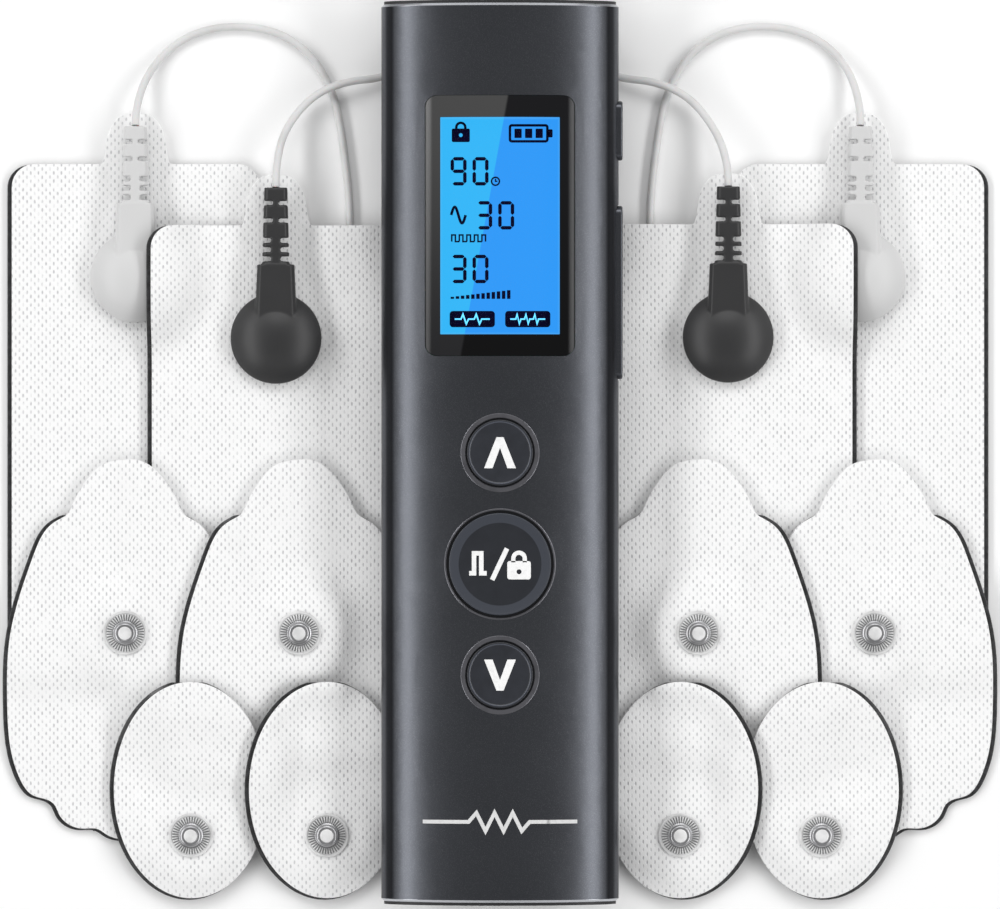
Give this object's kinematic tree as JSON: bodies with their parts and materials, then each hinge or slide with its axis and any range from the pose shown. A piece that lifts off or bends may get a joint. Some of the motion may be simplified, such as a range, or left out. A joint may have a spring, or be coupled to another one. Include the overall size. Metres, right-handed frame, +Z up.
{
  "type": "tens unit",
  "caption": "Handheld nerve stimulator with an oval metal case, backlit display and buttons, two split snap leads and a spread of adhesive electrode pads.",
  "frame": {"origin": "floor level under the middle of the controller", "axes": "+Z up from the surface the set lies on, +Y along the controller towards its display end, +X towards the side buttons"},
  "size_m": [0.1664, 0.1925, 0.0167],
  "materials": {
    "anodised_grey": "bead-blasted dark grey anodised",
    "cap_plastic": "satin moulded",
    "bezel_metal": "turned",
    "steel": "bright",
    "inner_plastic": "moulded",
    "board_green": "solder mask",
    "component_black": "moulded",
    "copper_winding": "enamelled winding",
    "battery_wrap": "foil pouch",
    "window_glass": "polished",
    "lcd_blue": "backlit",
    "diffuser_white": "frosted",
    "plug_metal": "nickel plated",
    "boot_white": "moulded satin",
    "lead_white": "soft satin jacket",
    "connector_white": "moulded satin",
    "connector_black": "moulded matte",
    "pad_nonwoven": "embossed nonwoven",
    "gel_carbon": "carbon film with clear gel",
    "stud_metal": "coined"
  },
  "bodies": {
    "root": {"back_butterfly_left_pad": "pad_nonwoven", "back_butterfly_right_pad": "pad_nonwoven", "back_large_left_pad": "pad_nonwoven", "back_large_right_pad": "pad_nonwoven", "back_oval_left_pad": "pad_nonwoven", "back_oval_right_pad": "pad_nonwoven", "backlight_plate": "diffuser_white", "battery_cell": "battery_wrap", "board_components": "component_black", "bottom_end_cap": "cap_plastic", "button_bezels": "bezel_metal", "button_guide": "inner_plastic", "buzzer": "component_black", "charging_port": "steel", "display_window": "window_glass", "end_cap_screws": "steel", "front_butterfly_left_pad": "pad_nonwoven", "front_butterfly_right_pad": "pad_nonwoven", "front_large_left_pad": "pad_nonwoven", "front_large_right_pad": "pad_nonwoven", "front_oval_left_pad": "pad_nonwoven", "front_oval_right_pad": "pad_nonwoven", "gel_layers": "gel_carbon", "housing_tube": "anodised_grey", "inner_carrier": "inner_plastic", "lcd_panel": "lcd_blue", "lead_jacks": "inner_plastic", "left_black_wire": "lead_white", "left_splitter": "boot_white", "left_trunk_coil": "lead_white", "left_trunk_lead": "lead_white", "left_white_wire": "lead_white", "main_board": "board_green", "pulse_transformers": "copper_winding", "right_black_wire": "lead_white", "right_splitter": "boot_white", "right_trunk_coil": "lead_white", "right_trunk_lead": "lead_white", "right_white_wire": "lead_white", "rocker_pin": "steel", "snap_studs": "stud_metal", "tact_switches": "component_black", "top_end_cap": "cap_plastic"},
    "up_key": {"up_button": "anodised_grey"},
    "lock_key": {"lock_button": "anodised_grey"},
    "down_key": {"down_button": "anodised_grey"},
    "power_key": {"power_button": "anodised_grey"},
    "mode_key": {"mode_rocker": "anodised_grey"},
    "left_plug": {"left_plug_pin": "plug_metal", "left_plug_boot": "boot_white"},
    "right_plug": {"right_plug_pin": "plug_metal", "right_plug_boot": "boot_white"},
    "left_black_head": {"left_black_connector": "connector_black", "left_black_socket": "plug_metal"},
    "right_black_head": {"right_black_connector": "connector_black", "right_black_socket": "plug_metal"},
    "left_white_head": {"left_white_connector": "connector_white", "left_white_socket": "plug_metal"},
    "right_white_head": {"right_white_connector": "connector_white", "right_white_socket": "plug_metal"}
  },
  "joints": [
    {"name": "up_press", "type": "slide", "parent": "root", "child": "up_key", "axis": [0, 0, -1], "range_m": [0, 0.0004], "stiffness_N_per_m": 400, "springref_m": -0.0005},
    {"name": "lock_press", "type": "slide", "parent": "root", "child": "lock_key", "axis": [0, 0, -1], "range_m": [0, 0.0004], "stiffness_N_per_m": 400, "springref_m": -0.0005},
    {"name": "down_press", "type": "slide", "parent": "root", "child": "down_key", "axis": [0, 0, -1], "range_m": [0, 0.0004], "stiffness_N_per_m": 400, "springref_m": -0.0005},
    {"name": "power_press", "type": "slide", "parent": "root", "child": "power_key", "axis": [-1, 0, 0], "range_m": [0, 0.0004], "stiffness_N_per_m": 400, "springref_m": -0.0005},
    {"name": "mode_rock", "type": "hinge", "parent": "root", "child": "mode_key", "pos_m": [0.0169, 0.02665, 0.00885], "axis": [0, 0, 1], "range_deg": [-2.5, 2.5], "stiffness_Nm_per_rad": 0.05},
    {"name": "left_unplug", "type": "slide", "parent": "root", "child": "left_plug", "axis": [0, 1, 0], "range_m": [0, 0.011], "deforming": ["left_trunk_lead"]},
    {"name": "right_unplug", "type": "slide", "parent": "root", "child": "right_plug", "axis": [0, 1, 0], "range_m": [0, 0.011], "deforming": ["right_trunk_lead"]},
    {"name": "left_black_swivel", "type": "hinge", "parent": "root", "child": "left_black_head", "pos_m": [-0.0374, 0.0191, 0], "axis": [0, 0, 1], "range_deg": [-15, 15], "deforming": ["left_black_wire"]},
    {"name": "right_black_swivel", "type": "hinge", "parent": "root", "child": "right_black_head", "pos_m": [0.0381, 0.0193, 0], "axis": [0, 0, 1], "range_deg": [-15, 15], "deforming": ["right_black_wire"]},
    {"name": "left_white_swivel", "type": "hinge", "parent": "root", "child": "left_white_head", "pos_m": [-0.0609, 0.0294, 0], "axis": [0, 0, 1], "range_deg": [0, 20], "deforming": ["left_white_wire"]},
    {"name": "right_white_swivel", "type": "hinge", "parent": "root", "child": "right_white_head", "pos_m": [0.0602, 0.0294, 0], "axis": [0, 0, 1], "range_deg": [-20, 0], "deforming": ["right_white_wire"]}
  ]
}
